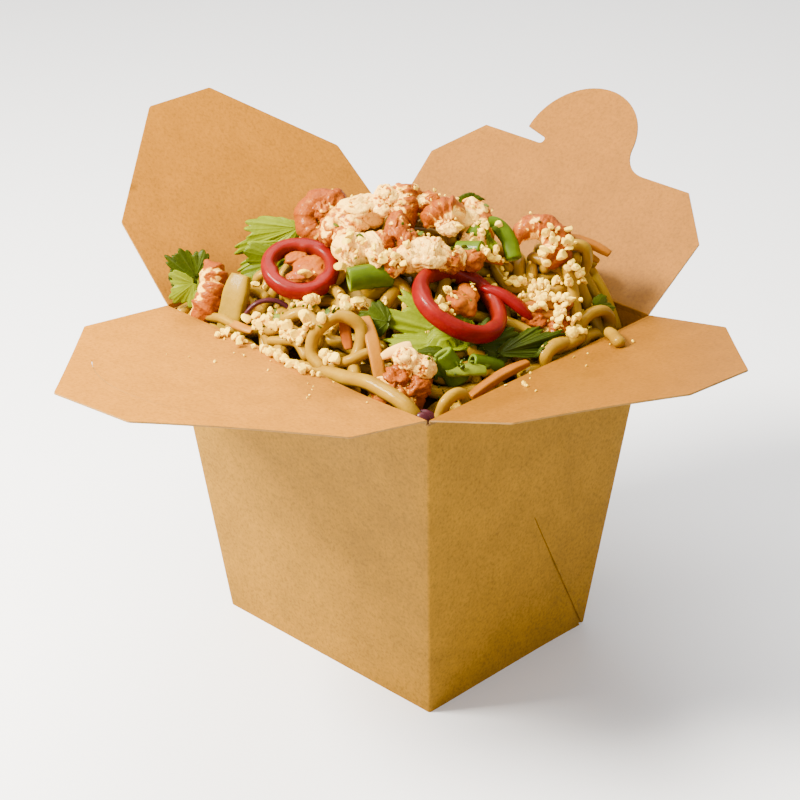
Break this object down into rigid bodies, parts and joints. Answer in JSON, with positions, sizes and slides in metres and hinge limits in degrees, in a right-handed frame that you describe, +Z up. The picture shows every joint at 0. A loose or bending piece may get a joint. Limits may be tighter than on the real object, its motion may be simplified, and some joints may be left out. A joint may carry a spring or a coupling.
{
  "type": "noodle takeaway box",
  "caption": "Open folded kraft board takeaway box heaped with fried egg noodles, prawns, chilli rings, spring onion and leaves; its closing flaps hinge on their creases.",
  "frame": {"origin": "middle of the underside of the box, on the surface it stands on", "axes": "+Z up; -Y is the wall whose flap has the curved slot, +Y the wall whose flap has the round locking tab, +X and -X the side walls with the plain dust flaps"},
  "size_m": [0.2041, 0.2077, 0.1402],
  "materials": {
    "board_outside": "matte",
    "board_inside": "matte",
    "noodle": "satin",
    "prawn": "satin",
    "chilli": "gloss",
    "spring_onion": "satin",
    "mango": "satin",
    "carrot": "satin",
    "red_onion": "satin"
  },
  "bodies": {
    "box": {"pail": "board_outside", "noodle_heap": "noodle", "prawn_front": "prawn", "prawn_left": "prawn", "prawn_crown_left": "prawn", "prawn_crown_tail": "prawn", "prawn_flake": "prawn", "prawn_crown": "prawn", "prawn_crown_right": "prawn", "prawn_crown_fold": "prawn", "prawn_middle": "prawn", "prawn_back": "prawn", "chilli_ring_left": "chilli", "chilli_ring_right": "chilli", "chilli_strip": "chilli", "spring_onion_middle": "spring_onion", "spring_onion_back": "spring_onion", "spring_onion_curved": "spring_onion", "spring_onion_front": "spring_onion", "spring_onion_small": "spring_onion", "mango_stick": "mango", "carrot_front": "carrot", "carrot_ribbon": "carrot", "carrot_back": "carrot", "red_onion_arc": "red_onion"},
    "slot_flap": {"flap_slot": "board_inside"},
    "tab_flap": {"flap_tab": "board_inside"},
    "dust_flap_right": {"flap_dust_right": "board_inside"},
    "dust_flap_left": {"flap_dust_left": "board_inside"}
  },
  "joints": [
    {"name": "slot_flap_crease", "type": "hinge", "parent": "box", "child": "slot_flap", "pos_m": [0, -0.0455, 0.1], "axis": [1, 0, 0], "range_deg": [-76, 90]},
    {"name": "tab_flap_crease", "type": "hinge", "parent": "box", "child": "tab_flap", "pos_m": [0, 0.0455, 0.1], "axis": [-1, 0, 0], "range_deg": [-45.7, 120]},
    {"name": "dust_flap_right_crease", "type": "hinge", "parent": "box", "child": "dust_flap_right", "pos_m": [0.0515, 0, 0.1], "axis": [0, 1, 0], "range_deg": [-70.3, 95.5]},
    {"name": "dust_flap_left_crease", "type": "hinge", "parent": "box", "child": "dust_flap_left", "pos_m": [-0.0515, 0, 0.1], "axis": [0, -1, 0], "range_deg": [-42.7, 123]}
  ]
}
